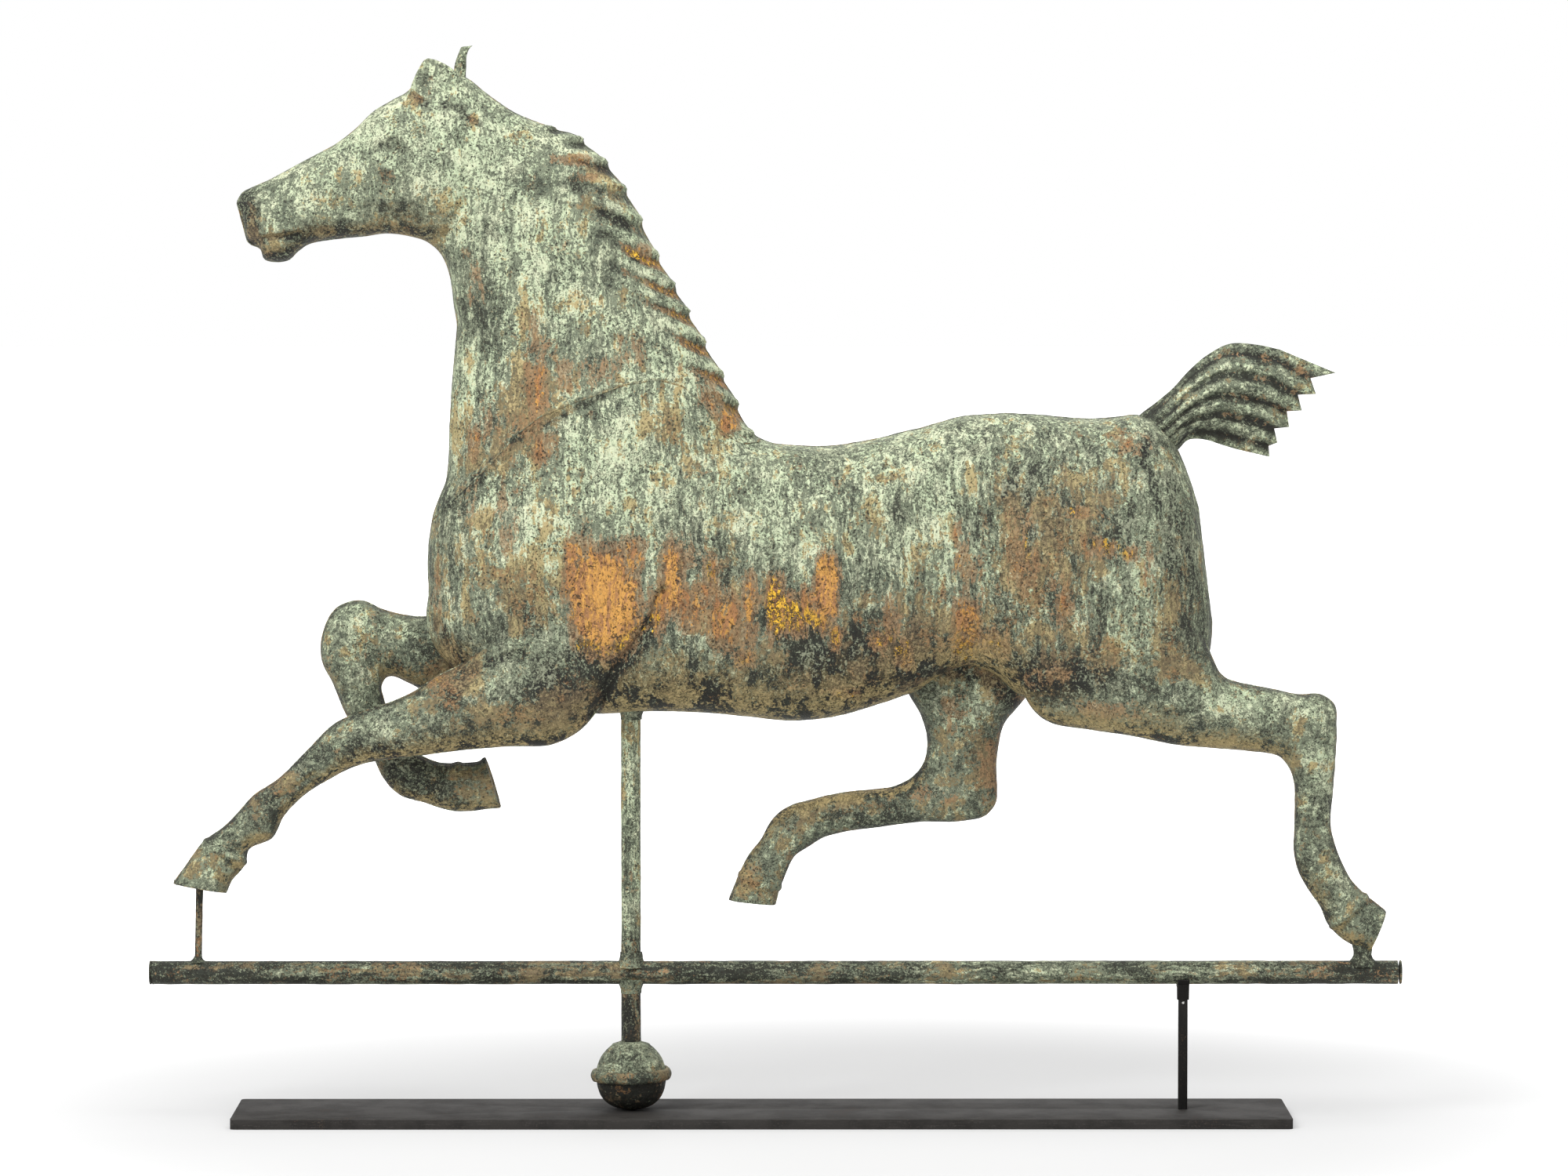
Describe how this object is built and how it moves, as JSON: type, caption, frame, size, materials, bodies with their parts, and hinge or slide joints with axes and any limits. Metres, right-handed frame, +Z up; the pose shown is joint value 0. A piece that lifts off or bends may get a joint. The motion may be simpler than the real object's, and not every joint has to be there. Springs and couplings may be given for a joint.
{
  "type": "weathervane",
  "caption": "Running-horse weathervane of moulded sheet copper with a ball on its upright, turning on a spindle on a flat steel display stand.",
  "frame": {"origin": "under the middle of the crossbar's length, in the middle plane of the horse, on the underside of the base plate", "axes": "+X along the crossbar towards the horse's tail, +Y towards the horse's right side, +Z up"},
  "size_m": [1.0022, 0.127, 0.8583],
  "materials": {
    "verdigris_copper": "weathered sheet copper with pale verdigris, dark patina and worn gilding",
    "dark_copper": "dark patinated sheet copper",
    "tube_copper": "streaked green and dark patinated tube",
    "solder": "dull patinated solder",
    "turned_brass": "plain turned brass",
    "black_steel": "blackened steel with fine scratches",
    "bright_steel": "plain steel screws"
  },
  "bodies": {
    "stand": {"base_plate": "black_steel", "spindle": "black_steel", "spindle_screw": "bright_steel", "prop_post": "black_steel", "prop_screw": "bright_steel", "saddle": "black_steel", "saddle_pin": "bright_steel"},
    "pivot_cap": {"pivot_cap": "turned_brass"},
    "vane": {"body_left_shell": "verdigris_copper", "body_right_shell": "verdigris_copper", "neck_left_shell": "verdigris_copper", "neck_right_shell": "verdigris_copper", "tail_left_shell": "dark_copper", "tail_right_shell": "dark_copper", "left_foreleg_outer_shell": "verdigris_copper", "left_foreleg_inner_shell": "verdigris_copper", "right_foreleg_outer_shell": "verdigris_copper", "right_foreleg_inner_shell": "verdigris_copper", "left_hind_leg_outer_shell": "verdigris_copper", "left_hind_leg_inner_shell": "verdigris_copper", "right_hind_leg_outer_shell": "verdigris_copper", "right_hind_leg_inner_shell": "verdigris_copper", "left_ear": "verdigris_copper", "right_ear": "verdigris_copper", "crossbar_tube": "tube_copper", "crossbar_front_cap": "tube_copper", "crossbar_rear_cap": "tube_copper", "upright_tube": "tube_copper", "belly_solder": "solder", "crossing_upper_solder": "solder", "crossing_lower_solder": "solder", "fore_hoof_rod": "tube_copper", "fore_hoof_rod_solder": "solder", "hind_hoof_solder": "solder", "ball_upper_bowl": "tube_copper", "ball_lower_bowl": "tube_copper", "ball_seam_band": "tube_copper", "bearing_plug": "turned_brass"}
  },
  "joints": [
    {"name": "vane_swivel", "type": "hinge", "parent": "stand", "child": "pivot_cap", "pos_m": [-0.1158, 0, 0.2], "axis": [0, 0, 1], "range_deg": [0, 350]},
    {"name": "vane_lift", "type": "slide", "parent": "pivot_cap", "child": "vane", "axis": [0, 0, 1], "range_m": [0, 0.2]}
  ]
}
